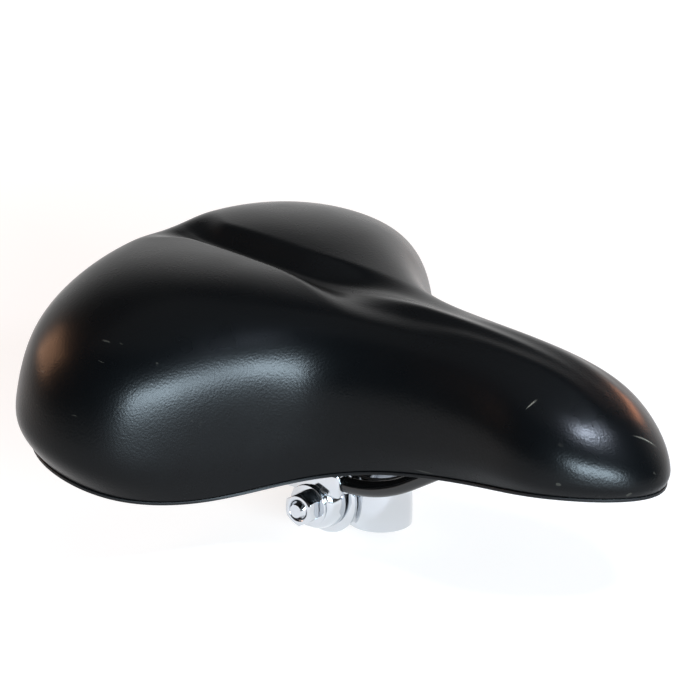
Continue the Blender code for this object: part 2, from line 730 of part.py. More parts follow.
def make_outer_plate(parts, work):
    """Left outer plate: a pressed cup round the bolt, with the outer half of the rail seat."""
    wall = CUP_WALL
    profile = [
        (0.0, CUP_OUTER), (CUP_RADIUS * 0.70, CUP_OUTER), (CUP_RADIUS * 0.80, CUP_OUTER - 0.3 * wall),
        (CUP_RADIUS * 0.93, CUP_OUTER - 1.4 * wall), (CUP_RADIUS, CUP_RIM),
        (CUP_RADIUS - wall, CUP_RIM), (CUP_RADIUS * 0.93 - wall, CUP_OUTER - 1.8 * wall),
        (CUP_RADIUS * 0.70 - wall, CUP_OUTER - wall), (0.0, CUP_OUTER - wall),
    ]
    outer = turned("outer_plate_left", profile, ROUND, across(1), parts)
    seat = cradle("outer_cradle", RAIL_Y + 2 * GAP, SEAT_OUTER, work)
    half = CRADLE_LENGTH / 2 + GAP
    under = RAIL_RISE - (RAIL_RADIUS + GAP + CRADLE_WALL) - GAP
    room = block("cradle_room", (BOLT_X - half, 0, under), (BOLT_X + half, RAIL_Y, PLATE_RADIUS), work)
    boolean(outer, room, "DIFFERENCE")
    boolean(outer, seat, "UNION")
    boolean(outer, rail_groove("outer_groove", work), "DIFFERENCE")
    boolean(outer, bolt_hole("outer_hole", work), "DIFFERENCE")
    outer.data.materials.append(material("chrome_cup", (0.76, 0.77, 0.79), 0.08, 1.0))
    return outer


def make_washer(parts):
    inner, outer = CUP_OUTER + GAP, CUP_OUTER + GAP + WASHER_WALL
    bore = BOLT_RADIUS + GAP
    soft = 0.3 * MM
    profile = [
        (bore, outer), (WASHER_RADIUS - soft, outer), (WASHER_RADIUS, outer - soft),
        (WASHER_RADIUS, inner), (bore, inner),
    ]
    washer = turned("washer_left", profile, ROUND, across(1), parts)
    washer.data.materials.append(material("zinc_washer", (0.68, 0.69, 0.7), 0.2, 1.0))
    return shade(washer)


def make_nut(parts, work):
    """Hexagon nut: a prism whose corners are turned off, bored for the bolt."""
    corner = NUT_ACROSS_FLATS / math.sqrt(3)
    flat = NUT_ACROSS_FLATS / 2
    slope = (corner - flat * 0.95) * math.tan(math.radians(30))
    profile = [
        (0.0, NUT_OUTER), (flat * 0.95, NUT_OUTER), (corner, NUT_OUTER - slope),
        (corner, NUT_INNER + slope), (flat * 0.95, NUT_INNER), (0.0, NUT_INNER),
    ]
    centre = (BOLT_X, (NUT_INNER + NUT_OUTER) / 2, 0)
    nut = cylinder("nut_left", corner, NUT_HEIGHT - GAP / 10, centre, "Y", parts, 6)
    boolean(nut, turned("nut_turning", profile, ROUND, across(1), work), "INTERSECT")
    boolean(nut, bolt_hole("nut_hole", work), "DIFFERENCE")
    nut.data.materials.append(material("chrome_nut", (0.72, 0.73, 0.75), 0.12, 1.0))
    return nut


def make_bolt(parts):
    """Threaded stud through the whole stack, chamfered at both ends."""
    end = NUT_OUTER + BOLT_OVERHANG
    soft = 1.0 * MM
    profile = [
        (0.0, end), (BOLT_RADIUS - soft, end), (BOLT_RADIUS, end - soft),
        (BOLT_RADIUS, soft - end), (BOLT_RADIUS - soft, -end), (0.0, -end),
    ]
    bolt = turned("clamp_bolt", profile, SMALL_ROUND, across(1), parts)
    bolt.data.materials.append(material("zinc_bolt", (0.66, 0.67, 0.69), 0.2, 1.0))
    return shade(bolt)


def right_hand(item, name, parts):
    """Bake a left piece and add its mirror image."""
    left_name = item.name
    item = bake(item)
    item.name = left_name
    mesh = item.data.copy()
    mesh.transform(Matrix.Scale(-1, 4, (0, 1, 0)))
    mesh.flip_normals()
    twin = add_object(name, mesh, parts)
    return item, twin


def axis_empty(name, place, collection, parent=None):
    empty = bpy.data.objects.new(name, None)
    empty.empty_display_size = 20 * MM
    collection.objects.link(empty)
    empty.location = place
    empty.parent = parent
    return empty


def attach(item, parent):
    """Parent without moving: the piece keeps its place in the world."""
    item.parent = parent
    item.matrix_parent_inverse = parent.matrix_world.inverted()


def build():
    clear_scene()
    parts = new_collection("bicycle_saddle")
    work = new_collection("cutters")

    make_band(parts, work)
    inner = right_hand(make_inner_plate(parts, work), "inner_plate_right", parts)
    outer = right_hand(make_outer_plate(parts, work), "outer_plate_right", parts)
    washers = right_hand(make_washer(parts), "washer_right", parts)
    nuts = right_hand(make_nut(parts, work), "nut_right", parts)
    bolt = make_bolt(parts)

    seat = [
        make_cover(parts), make_foam(parts, work), make_pan(parts, work), make_rail(parts),
        make_bush("rail_bush_left", 1, parts), make_bush("rail_bush_right", -1, parts),
        make_nose_clip(parts, work),
    ]
    for name, x in zip(("nose_screw_rear", "nose_screw_front"), screw_places()):
        seat.append(make_nose_screw(name, x, parts))

    tilt_axis = axis_empty("tilt_axis", (BOLT_X, 0, 0), parts)
    slide_axis = axis_empty("slide_axis", (-BOLT_X, 0, RAIL_RISE), parts, tilt_axis)
    bpy.context.view_layer.update()
    for item in (*inner, *outer, *washers, *nuts, bolt):
        attach(item, tilt_axis)
    for item in seat:
        attach(item, slide_axis)


build()
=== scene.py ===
import math

import bmesh
import bpy
from mathutils import Matrix, Vector


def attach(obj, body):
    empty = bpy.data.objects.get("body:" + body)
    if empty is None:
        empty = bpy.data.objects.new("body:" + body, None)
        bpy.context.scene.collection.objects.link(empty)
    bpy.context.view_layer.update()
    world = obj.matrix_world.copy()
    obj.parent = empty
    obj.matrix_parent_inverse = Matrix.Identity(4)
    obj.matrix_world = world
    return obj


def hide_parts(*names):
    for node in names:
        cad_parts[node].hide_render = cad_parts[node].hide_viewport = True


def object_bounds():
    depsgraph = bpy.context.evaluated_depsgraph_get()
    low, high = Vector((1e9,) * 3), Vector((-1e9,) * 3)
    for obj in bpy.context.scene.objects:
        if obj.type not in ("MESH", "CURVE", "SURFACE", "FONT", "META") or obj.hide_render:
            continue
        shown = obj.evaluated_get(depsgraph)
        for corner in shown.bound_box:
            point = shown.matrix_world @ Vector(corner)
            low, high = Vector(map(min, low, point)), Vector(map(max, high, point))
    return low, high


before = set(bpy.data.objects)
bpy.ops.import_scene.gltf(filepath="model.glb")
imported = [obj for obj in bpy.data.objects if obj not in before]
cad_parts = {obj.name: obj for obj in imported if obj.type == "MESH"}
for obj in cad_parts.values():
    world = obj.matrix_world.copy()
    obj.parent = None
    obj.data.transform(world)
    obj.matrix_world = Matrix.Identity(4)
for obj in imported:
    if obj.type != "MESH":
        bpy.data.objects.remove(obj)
cad_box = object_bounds()
MM = 0.001


# Studio. White surroundings behind the object, a dim ceiling, a wide window beside the camera and
# a small soft lamp near the nose. Two faint warm lamps stand for wooden furniture nearby.
def linear(hex_colour):
    """An sRGB hex colour as linear red, green, blue and alpha."""
    values = [int(hex_colour[k:k + 2], 16) / 255 for k in (1, 3, 5)]
    return [v / 12.92 if v <= 0.04045 else ((v + 0.055) / 1.055) ** 2.4 for v in values] + [1.0]


def node(tree, kind, inputs=(), **settings):
    """Adds a shader node with its settings, and its inputs' values or links."""
    made = tree.nodes.new("ShaderNode" + kind)
    for name, value in settings.items():
        setattr(made, name, value)
    for name, value in dict(inputs).items():
        if isinstance(value, bpy.types.NodeSocket):
            tree.links.new(value, made.inputs[name])
        else:
            made.inputs[name].default_value = value
    return made


CAMERA_TURN, CAMERA_RISE = math.radians(36.8), math.radians(19.58)
CAMERA_DISTANCE = 1462.5 * MM
PICTURE_PIXELS, FOCAL_PIXELS, SENSOR = 700, 3416.4, 36.0
LOOK_RIGHT, LOOK_UP = -13.13 * MM, 61.86 * MM   # from the seat post's axis to the picture's middle

right = Vector((math.cos(CAMERA_TURN), math.sin(CAMERA_TURN), 0))
backward = Vector((
    math.sin(CAMERA_TURN) * math.cos(CAMERA_RISE), -math.cos(CAMERA_TURN) * math.cos(CAMERA_RISE),
    math.sin(CAMERA_RISE)))
camera_data = bpy.data.cameras.new("photo_camera")
camera_data.sensor_width = SENSOR
camera_data.lens = FOCAL_PIXELS * SENSOR / PICTURE_PIXELS
camera = bpy.data.objects.new("photo_camera", camera_data)
camera.rotation_euler = (math.pi / 2 - CAMERA_RISE, 0, CAMERA_TURN)
camera.location = right * LOOK_RIGHT + backward.cross(right) * LOOK_UP + backward * CAMERA_DISTANCE
bpy.context.collection.objects.link(camera)
bpy.context.scene.camera = camera
bpy.context.scene.view_settings.view_transform = "Standard"

AWAY = (-0.6, 0.8, 0.0)         # level, from the camera past the object
DIMMEST = 0.06                  # the room in front of the object and above it
world = bpy.data.worlds.new("white_studio")
bpy.context.scene.world = world
world.use_nodes = True
sky = world.node_tree
sky.nodes.clear()
direction = node(sky, "TexCoord").outputs["Generated"]
behind = node(sky, "VectorMath", {0: direction, 1: AWAY}, operation="DOT_PRODUCT")
behind = node(sky, "MapRange", {
    "Value": behind.outputs["Value"], "From Min": -0.2, "From Max": 0.75}, interpolation_type="SMOOTHSTEP")
height = node(sky, "SeparateXYZ", {0: direction}).outputs["Z"]
low = node(sky, "MapRange", {
    "Value": height, "From Min": 0.25, "From Max": 0.75, "To Min": 1.0, "To Max": 0.0},
    interpolation_type="SMOOTHSTEP")
bright = node(sky, "Math", {0: behind.outputs["Result"], 1: low.outputs["Result"]}, operation="MULTIPLY")
surroundings = node(sky, "MapRange", {"Value": bright.outputs[0], "To Min": DIMMEST, "To Max": 1.0})
rays = node(sky, "LightPath").outputs
seen = node(sky, "Math", {0: rays["Is Camera Ray"], 1: rays["Is Transmission Ray"]}, operation="MAXIMUM")
strength = node(sky, "Math", {0: seen.outputs[0], 1: surroundings.outputs["Result"]}, operation="MAXIMUM")
background = node(sky, "Background", {"Color": linear("#ffffff"), "Strength": strength.outputs[0]})
node(sky, "OutputWorld", {"Surface": background.outputs[0]})


AIM = Vector((0, 0, 50 * MM))   # what every lamp faces


def lamp(name, turn, rise, distance, size, power, colour):
    """A soft lamp at an azimuth and height in degrees round the object, facing it."""
    turn, rise = math.radians(turn), math.radians(rise)
    way = Vector((math.sin(turn) * math.cos(rise), -math.cos(turn) * math.cos(rise), math.sin(rise)))
    data = bpy.data.lights.new(name, "AREA")
    data.shape = "RECTANGLE"
    data.size, data.size_y = size
    data.energy = power
    data.color = linear(colour)[:3]
    item = bpy.data.objects.new(name, data)
    item.location = AIM + way * distance
    item.rotation_euler = way.to_track_quat("Z", "Y").to_euler()
    item.visible_camera = False
    bpy.context.collection.objects.link(item)


lamp("window", 55, 11, 2.4, (1.5, 0.46), 135, "#cfe4f2")
lamp("side_window", 81, 44, 0.38, (0.066, 0.054), 1.3, "#dbe7fb")
lamp("ceiling", 0, 88, 2.6, (2.4, 2.4), 5, "#ffffff")
lamp("warm_left", -72, 24, 1.8, (0.9, 0.8), 24, "#cf9a76")
lamp("warm_behind", 175, 19, 1.7, (0.40, 0.32), 5.5, "#c9805a")


# Floor. A sheet of matt white paper: it glows for the camera and for mirrors only, a little less
# near the object, so that the object's shadow stays.
FLOOR_SIZE, FLOOR_DROP = 8, 0.5 * MM
bpy.ops.mesh.primitive_plane_add(size=FLOOR_SIZE, location=(0, 0, cad_box[0][2] - FLOOR_DROP))
floor = bpy.context.object
floor.name = "floor"
paper = bpy.data.materials.new("white_paper_floor")
paper.use_nodes = True
tree = paper.node_tree
tree.nodes.clear()
rays = node(tree, "LightPath").outputs
seen = node(tree, "Math", {0: rays["Is Camera Ray"], 1: rays["Is Glossy Ray"]}, operation="MAXIMUM")
lit = node(tree, "BsdfDiffuse", {"Color": linear("#a4a4a4")})
far = node(tree, "VectorMath", {0: node(tree, "TexCoord").outputs["Object"]}, operation="LENGTH")
fade = node(tree, "MapRange", {
    "Value": far.outputs["Value"], "From Min": 0.35, "From Max": 1.1, "To Min": 0.78, "To Max": 1.0})
glow = node(tree, "Emission", {"Color": linear("#ffffff"), "Strength": fade.outputs["Result"]})
both = node(tree, "AddShader", {0: lit.outputs[0], 1: glow.outputs[0]})
mixed = node(tree, "MixShader", {0: seen.outputs[0], 1: lit.outputs[0], 2: both.outputs[0]})
under = node(tree, "NewGeometry").outputs["Backfacing"]     # seen from below, the floor isn't there
clear = node(tree, "BsdfTransparent")
shown = node(tree, "MixShader", {0: under, 1: mixed.outputs[0], 2: clear.outputs[0]})
node(tree, "OutputMaterial", {"Surface": shown.outputs[0]})
floor.data.materials.append(paper)


# Cover. One smooth skin of black vinyl with no seams, moulded over the foam: two full lobes, a
# shallow groove between them and a rounded nose. The skin ends on the pan's rim.
SADDLE_LENGTH, SADDLE_WIDTH, POST_TO_TAIL = 274 * MM, 242 * MM, 128 * MM
COVER_WALL, LAYER_GAP, EDGE_FOAM = 2.0 * MM, 0.4 * MM, 4.5 * MM
RIM_WALL, RIM_GAP = 1.3 * MM, 0.1 * MM          # the pan's wall, and its rim to the cover
# Half of the plan, tail to nose: shares of the length and half width, then in mm the heights of the
# edge and crown and the foam's depth on the pan.
STATIONS = (
    (0.015, 0.000, 36.0, 94.5, 27.0),
    (0.004, 0.360, 35.0, 94.0, 30.0),
    (0.020, 0.680, 32.0, 94.5, 31.0),
    (0.110, 0.894, 26.5, 94.5, 32.0),
    (0.259, 0.900, 17.5, 91.5, 32.0),
    (0.354, 0.652, 13.0, 84.5, 29.0),
    (0.435, 0.367, 19.5, 80.0, 25.0),
    (0.567, 0.261, 27.5, 79.0, 22.0),
    (0.744, 0.247, 31.5, 75.5, 19.0),
    (0.860, 0.329, 36.5, 63.5, 14.0),
    (1.026, 0.000, 31.8, 62.0, 20.0),
)
# Middle line, tail to nose: share of the length and height in mm.
SPINE = (
    (0.100, 101.0), (0.145, 99.0), (0.210, 96.0), (0.299, 93.5), (0.404, 93.0),
    (0.513, 92.0), (0.645, 89.5), (0.818, 80.5), (0.906, 66.0),
)
# Rings from the edge to the top: share of the way out from the middle line, and share of the way
# up from edge to crown, round the seat and at the nose's tip.
SEAT_RINGS = (
    (1.035, 0.00, 0.00), (1.12, 0.16, 0.06), (1.11, 0.33, 0.11), (1.04, 0.73, 0.18),
    (0.81, 0.99, 0.42), (0.52, 1.12, 0.70), (0.18, 1.11, 1.01),
)
LAST = len(STATIONS) - 1


def cage_point(column, side, share, inset, height):
    """A point out from the spine by a share of the way to the inset outline."""
    spine_share = SPINE[min(max(column, 1), LAST - 1) - 1][0]
    hub = Vector((spine_share * SADDLE_LENGTH - POST_TO_TAIL, 0))
    length_share, width_share = STATIONS[column][:2]
    rim = Vector((length_share * SADDLE_LENGTH - POST_TO_TAIL, side * width_share * SADDLE_WIDTH / 2))
    spot = hub + (rim - hub) * share * (1 - inset / (rim - hub).length)
    return (spot.x, spot.y, height)


def smooth_form(name, rings, spine_heights, levels, sharp_ring=None):
    """Subdivided surface through rings of (share, inset, heights), closed over the spine."""
    bm = bmesh.new()
    grid = {}
    for j, (share, inset, heights) in enumerate(rings):
        for i in range(LAST + 1):
            for side in (-1, 1):
                grid[i, j, side] = grid[i, j, -1] if side > 0 and i in (0, LAST) else bm.verts.new(
                    cage_point(i, side, share, inset, heights[i]))
    spine = {i: bm.verts.new((SPINE[i - 1][0] * SADDLE_LENGTH - POST_TO_TAIL, 0, spine_heights[i - 1]))
             for i in range(1, LAST)}
    top = len(rings) - 1
    for side in (-1, 1):
        for i in range(LAST):
            for j in range(top):
                quad = [grid[i, j, side], grid[i + 1, j, side],
                        grid[i + 1, j + 1, side], grid[i, j + 1, side]]
                bm.faces.new(quad[::-side])
        for i in range(1, LAST - 1):
            quad = [grid[i, top, side], grid[i + 1, top, side], spine[i + 1], spine[i]]
            bm.faces.new(quad[::-side])
    bm.faces.new([grid[0, top, -1], grid[1, top, -1], spine[1], grid[1, top, 1]])
    bm.faces.new([grid[LAST, top, -1], grid[LAST - 1, top, 1], spine[LAST - 1], grid[LAST - 1, top, -1]])
    if sharp_ring is not None:
        crease = bm.edges.layers.float.new("crease_edge")
        for i in range(LAST):
            for side in (-1, 1):
                bm.edges.get((grid[i, sharp_ring, side], grid[i + 1, sharp_ring, side]))[crease] = 1.0
    mesh = bpy.data.meshes.new(name)
    bm.to_mesh(mesh)
    bm.free()
    item = bpy.data.objects.new(name, mesh)
    bpy.context.collection.objects.link(item)
    pick(item)
    modify(item, "SUBSURF", levels=levels, render_levels=levels)
    return item


def pick(item):
    """Selects one object alone and makes it active."""
    bpy.ops.object.select_all(action="DESELECT")
    item.select_set(True)
    bpy.context.view_layer.objects.active = item


def modify(item, kind, **settings):
    """Adds a modifier and applies it."""
    pick(item)
    step = item.modifiers.new(kind.lower(), kind)
    for name, value in settings.items():
        setattr(step, name, value)
    bpy.ops.object.modifier_apply(modifier=step.name)


def between(low_heights, high_heights, share):
    """Heights a share of the way from the first list to the second."""
    return [a + share * (b - a) for a, b in zip(low_heights, high_heights)]


def seat_form(name, levels):
    """The seat's outer side, open below."""
    edge = [row[2] * MM + RIM_WALL + RIM_GAP for row in STATIONS]
    crown = [row[3] * MM for row in STATIONS]
    rings = []
    for share, rise, tip_rise in SEAT_RINGS:
        heights = between(edge, crown, rise)
        heights[LAST] = edge[LAST] + tip_rise * (crown[LAST] - edge[LAST])
        rings.append((share, 0.0, heights))
    return smooth_form(name, rings, [height * MM for _, height in SPINE], levels)


def surface(name, colour, roughness, metallic=0.0, **sockets):
    """A material with a Principled shader; returns it, its node tree and the shader."""
    made = bpy.data.materials.new(name)
    made.use_nodes = True
    shader = made.node_tree.nodes["Principled BSDF"]
    shader.inputs["Base Color"].default_value = linear(colour)
    shader.inputs["Roughness"].default_value = roughness
    shader.inputs["Metallic"].default_value = metallic
    for socket, value in sockets.items():
        shader.inputs[socket.replace("_", " ")].default_value = value
    return made, made.node_tree, shader


# Black vinyl (soft PVC skin), vacuum-moulded against a grained tool: near black and satin, so lamps
# show as broad soft bands, with a fine pebbled grain and a few pale scuffs from use.
VINYL_BLACK, SCUFF_GREY = "#050607", "#6a665c"
vinyl, tree, shader = surface("moulded_black_vinyl", VINYL_BLACK, 0.28, Specular_IOR_Level=0.16)
place = node(tree, "TexCoord").outputs["Object"]
GRAIN = 0.9 * MM                # the pebbles, about 0.4 mm across in fact, drawn coarser
pebbles = node(tree, "TexVoronoi", {"Vector": place, "Scale": 1 / GRAIN}, feature="SMOOTH_F1")
PATCH = 22 * MM                 # areas a little duller or shinier
patches = node(tree, "TexNoise", {"Vector": place, "Scale": 1 / PATCH, "Detail": 3.0})
rough = node(tree, "MapRange", {
    "Value": patches.outputs["Fac"], "From Min": 0.3, "From Max": 0.7, "To Min": 0.26, "To Max": 0.31})
tree.links.new(rough.outputs["Result"], shader.inputs["Roughness"])
grain = node(tree, "Bump", {"Height": pebbles.outputs["Distance"], "Strength": 0.80, "Distance": 0.05 * MM})
tree.links.new(grain.outputs["Normal"], shader.inputs["Normal"])
SCUFF, SCUFF_LENGTH, SCUFF_SPREAD = 0.35 * MM, 14 * MM, 60 * MM
slanted = node(tree, "Mapping", {
    "Vector": place, "Rotation": (0.4, 0.9, 0.6), "Scale": (1 / SCUFF_LENGTH, 1 / SCUFF, 1 / SCUFF)})
streaks = node(tree, "TexNoise", {"Vector": slanted.outputs[0], "Scale": 0.12, "Detail": 1.0})
thin = node(tree, "MapRange", {"Value": streaks.outputs["Fac"], "From Min": 0.735, "From Max": 0.76})
spread = node(tree, "TexNoise", {"Vector": place, "Scale": 1 / SCUFF_SPREAD, "Detail": 0.0})
some = node(tree, "MapRange", {
    "Value": spread.outputs["Fac"], "From Min": 0.52, "From Max": 0.6, "To Max": 0.2})
scuffs = node(tree, "Math", {0: thin.outputs["Result"], 1: some.outputs["Result"]}, operation="MULTIPLY")
marks = scuffs.outputs[0]
SCRATCHES = (                   # both ends in mm, on the nose
    ((92.4, -27.8, 68.4), (94.5, -23.3, 71.2)),
    ((128.9, -4.0, 57.9), (133.8, 5.0, 51.8)),
)
for start, end in SCRATCHES:
    along = (Vector(end) - Vector(start)) * MM
    mark = node(tree, "Mapping", {
        "Vector": place, "Location": Vector(start) * MM + along / 2,
        "Rotation": along.to_track_quat("X", "Z").to_euler(),
        "Scale": (along.length * 0.6, 0.4 * MM, 3 * MM)}, vector_type="TEXTURE")
    line = node(tree, "TexGradient", {"Vector": mark.outputs[0]}, gradient_type="SPHERICAL")
    marks = node(tree, "Math", {0: marks, 1: line.outputs["Fac"]}, operation="MAXIMUM").outputs[0]
tint = node(tree, "ValToRGB", {"Fac": marks})
tint.color_ramp.elements[0].color = linear(VINYL_BLACK)
tint.color_ramp.elements[1].color = linear(SCUFF_GREY)
tree.links.new(tint.outputs["Color"], shader.inputs["Base Color"])


def eased(value, start, end):
    """0 before start and 1 past end, with soft ends; start may lie past end."""
    share = min(max((value - start) / (end - start), 0.0), 1.0)
    return share * share * (3 - 2 * share)


GROOVE_DEPTH, NOSE_FILL = 5.5, 1.2      # in mm, as are all lengths in press_top


def press_top(item):
    """Sinks the groove between the two ridges, up to the nose, and rounds the top of the nose."""
    for vert in item.data.vertices:
        x, y, z = (value / MM for value in vert.co)
        depth = GROOVE_DEPTH * eased(x, -122, -94) * eased(x, 25, -35)
        half = 14 + 11 * eased(x, -50, 5) + 12 * eased(x, -92, -114)
        if z > 70 and depth > 0:
            vert.co.z -= depth * eased(abs(y), half, 0.1 * half) * MM
        nose = eased(x, 20, 55) * eased(x, 134, 96) * eased(z, 44, 54)
        vert.co.z += NOSE_FILL * nose * math.sin(math.pi * min(abs(y) / 18, 1.0)) ** 2 * MM


COVER_LEVELS = 4                # of subdivision
COVER_EDGE = 0.4 * MM
cover = seat_form("vinyl_cover", COVER_LEVELS)
press_top(cover)
modify(cover, "SOLIDIFY", thickness=COVER_WALL, offset=-1.0)
modify(cover, "BEVEL", width=COVER_EDGE, segments=2, limit_method="ANGLE", angle_limit=math.radians(60))
cover.data.shade_smooth()
cover.data.materials.clear()
cover.data.materials.append(vinyl)
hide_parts("cover_skin")
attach(cover, "saddle")


# Foam. A pad of soft polyurethane foam between the skin and the pan, moulded in one piece; it
# carries the rider and fills the lobes.
# Each ring of the pan's form: share of the way out, further inset in mm, share of the way up.
PAN_RINGS = (
    (1.03, 1.0, 0.45), (0.97, 2.5, 0.86), (0.80, 3.0, 1.00), (0.56, 2.0, 1.04), (0.30, 0.0, 1.04),
)
LIP = 0.6 * MM                  # the pan's rim past the seat's outline


def pan_form(name, levels, with_flange):
    """The pan's upper side, open below, with or without its flat rim."""
    edge = [row[2] * MM + RIM_WALL for row in STATIONS]
    crown = [(row[3] - row[4]) * MM for row in STATIONS]
    inset = COVER_WALL + LAYER_GAP + EDGE_FOAM
    rings = [(SEAT_RINGS[0][0], -LIP, edge)] if with_flange else []
    rings.append((SEAT_RINGS[0][0], inset, edge))
    rings += [(share, inset + extra * MM, between(edge, crown, rise)) for share, extra, rise in PAN_RINGS]
    spine = [(height - STATIONS[i + 1][4]) * MM for i, (_, height) in enumerate(SPINE)]
    return smooth_form(name, rings, spine, levels, sharp_ring=1 if with_flange else None)


# Cream polyurethane foam, mould-cast with open cells: matt, with painted shade in the small pits of its
# cells.
foam_stuff, tree, shader = surface("cream_polyurethane_foam", "#d9cfa4", 0.95)
place = node(tree, "TexCoord").outputs["Object"]
CELL = 0.8 * MM                 # the cells, about 0.5 mm across in fact, drawn coarser
cells = node(tree, "TexVoronoi", {"Vector": place, "Scale": 1 / CELL})
# Painted shade: each cell is coloured darker towards its middle, as the shade inside an open pit.
shade = node(tree, "ValToRGB", {"Fac": cells.outputs["Distance"]})
shade.color_ramp.elements[0].color = linear("#b9ad7c")
shade.color_ramp.elements[1].color = linear("#e2d9b2")
tree.links.new(shade.outputs["Color"], shader.inputs["Base Color"])


def swell(form, distance):
    """Moves every point of a bmesh along its normal."""
    form.normal_update()
    moves = [vert.normal * distance for vert in form.verts]
    for vert, move in zip(form.verts, moves):
        vert.co += move


FOAM_LEVELS = 3
foam = seat_form("foam_body", FOAM_LEVELS)
press_top(foam)
inner = pan_form("foam_inside", FOAM_LEVELS, with_flange=False)
bm = bmesh.new()
bm.from_mesh(foam.data)
swell(bm, -(COVER_WALL + LAYER_GAP))
inside = bmesh.new()
inside.from_mesh(inner.data)
swell(inside, LAYER_GAP)
for vert in inside.verts:
    if vert.is_boundary:
        vert.co.z += LAYER_GAP
inside.to_mesh(inner.data)
inside.free()
bm.from_mesh(inner.data)
bpy.data.objects.remove(inner, do_unlink=True)
bmesh.ops.bridge_loops(bm, edges=[edge for edge in bm.edges if edge.is_boundary])
bmesh.ops.recalc_face_normals(bm, faces=bm.faces)
bm.to_mesh(foam.data)
bm.free()
foam.data.shade_smooth()
foam.data.materials.clear()
foam.data.materials.append(foam_stuff)
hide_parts("foam_pad")
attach(foam, "saddle")


# Pan. Injection-moulded black polypropylene: a thin shell whose rim stands out just past the cover,
# with two sockets for the rail ends, stiffening ribs and a pad over the front loop.
RAIL_RADIUS, GAP = 3.5 * MM, 0.3 * MM
SOCKET_X, SOCKET_Y, SOCKET_Z = -102 * MM, 32 * MM, 46 * MM
SOCKET_WALL, SOCKET_ROUND = 3.2 * MM, 1.5 * MM
BUSH_RADIUS, BUSH_LENGTH = 6.0 * MM, 13 * MM
NOSE_X, NOSE_Z = 102 * MM, 43 * MM
PAN_WALL, NOSE_ROOM = 2.6 * MM, 4.4 * MM        # the wall's full depth, and the room beside the loop
PAN_LEVELS, CORE_LEVELS, PAN_EDGE = 4, 3, 0.5 * MM
nose_half = SEAT_RINGS[0][0] * STATIONS[-3][1] * SADDLE_WIDTH / 2
nose_half -= COVER_WALL + LAYER_GAP + EDGE_FOAM + PAN_WALL
LOOP_HALF = nose_half - RAIL_RADIUS - NOSE_ROOM  # half the front loop's width, to the wire's centre
CLIP_LENGTH = 30 * MM
CLIP_FRONT, CLIP_BACK = NOSE_X + RAIL_RADIUS, NOSE_X + RAIL_RADIUS - CLIP_LENGTH
CORE_FRONT = NOSE_X - RAIL_RADIUS - 2 * GAP


def block(low, high, soft=0.0):
    """A box between two corners, its edges rounded."""
    low, high = Vector(low), Vector(high)
    bpy.ops.object.select_all(action="DESELECT")
    bpy.ops.mesh.primitive_cube_add(size=1, location=(low + high) / 2, scale=high - low)
    bpy.ops.object.transform_apply(location=True, rotation=True, scale=True)
    item = bpy.context.object
    if soft:
        modify(item, "BEVEL", width=soft, segments=3, limit_method="NONE")
    return item


def rod(radius, length, centre, axis, sides=48):
    """A closed cylinder about a centre, along X, Y or Z."""
    turn = {"X": (0, math.pi / 2, 0), "Y": (math.pi / 2, 0, 0), "Z": (0, 0, 0)}[axis]
    bpy.ops.object.select_all(action="DESELECT")
    bpy.ops.mesh.primitive_cylinder_add(
        vertices=sides, radius=radius, depth=length, location=centre, rotation=turn)
    bpy.ops.object.transform_apply(location=True, rotation=True, scale=True)
    return bpy.context.object


def cut(item, other, operation="DIFFERENCE"):
    """Applies an exact Boolean and throws the other object away."""
    modify(item, "BOOLEAN", object=other, operation=operation, solver="EXACT")
    bpy.data.objects.remove(other, do_unlink=True)


def soften(item, width, segments=3, angle=50):
    """Rounds the edges that turn by more than an angle in degrees."""
    modify(item, "BEVEL", width=width, segments=segments, limit_method="ANGLE",
           angle_limit=math.radians(angle))


def settle(item, name, stuff, stands_for, body, angle=35):
    """Names and shades a finished piece, and puts it in the place of its CAD node."""
    pick(item)
    item.name = name
    bpy.ops.object.transform_apply(location=True, rotation=True, scale=True)
    bpy.ops.object.shade_smooth_by_angle(angle=math.radians(angle))
    item.data.materials.clear()
    item.data.materials.append(stuff)
    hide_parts(stands_for)
    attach(item, body)


# Black polypropylene, injection-moulded in a spark-eroded tool: a dull, faintly sandy black.
plastic, tree, shader = surface("moulded_black_polypropylene", "#0c0c0d", 0.48, Specular_IOR_Level=0.25)
place = node(tree, "TexCoord").outputs["Object"]
SPARK = 0.6 * MM                # the sandy texture, about 0.1 mm in fact, drawn coarser
sparks = node(tree, "TexNoise", {"Vector": place, "Scale": 1 / SPARK, "Detail": 2.0})
texture = node(tree, "Bump", {"Height": sparks.outputs["Fac"], "Strength": 0.12, "Distance": 0.06 * MM})
tree.links.new(texture.outputs["Normal"], shader.inputs["Normal"])

pan = pan_form("pan", PAN_LEVELS, with_flange=True)
modify(pan, "SOLIDIFY", thickness=RIM_WALL, offset=-1.0, use_even_offset=True)
soften(pan, PAN_EDGE, angle=60)

# A solid that fills the space under the shell: it trims the tops of what hangs there.
CORE_DROP, CORE_FLOOR = 60 * MM, -24 * MM
core = pan_form("pan_core", CORE_LEVELS, with_flange=False)
modify(core, "DISPLACE", strength=-RIM_WALL / 2, mid_level=0.0)
bpy.ops.object.mode_set(mode="EDIT")
bpy.ops.mesh.select_all(action="SELECT")
bpy.ops.mesh.region_to_loop()
bpy.ops.mesh.extrude_region_move(TRANSFORM_OT_translate={"value": (0, 0, -CORE_DROP)})
bpy.ops.transform.resize(value=(1, 1, 0), center_override=(0, 0, CORE_FLOOR))
bpy.ops.mesh.edge_face_add()
bpy.ops.mesh.select_all(action="SELECT")
bpy.ops.mesh.normals_make_consistent(inside=False)
bpy.ops.object.mode_set(mode="OBJECT")

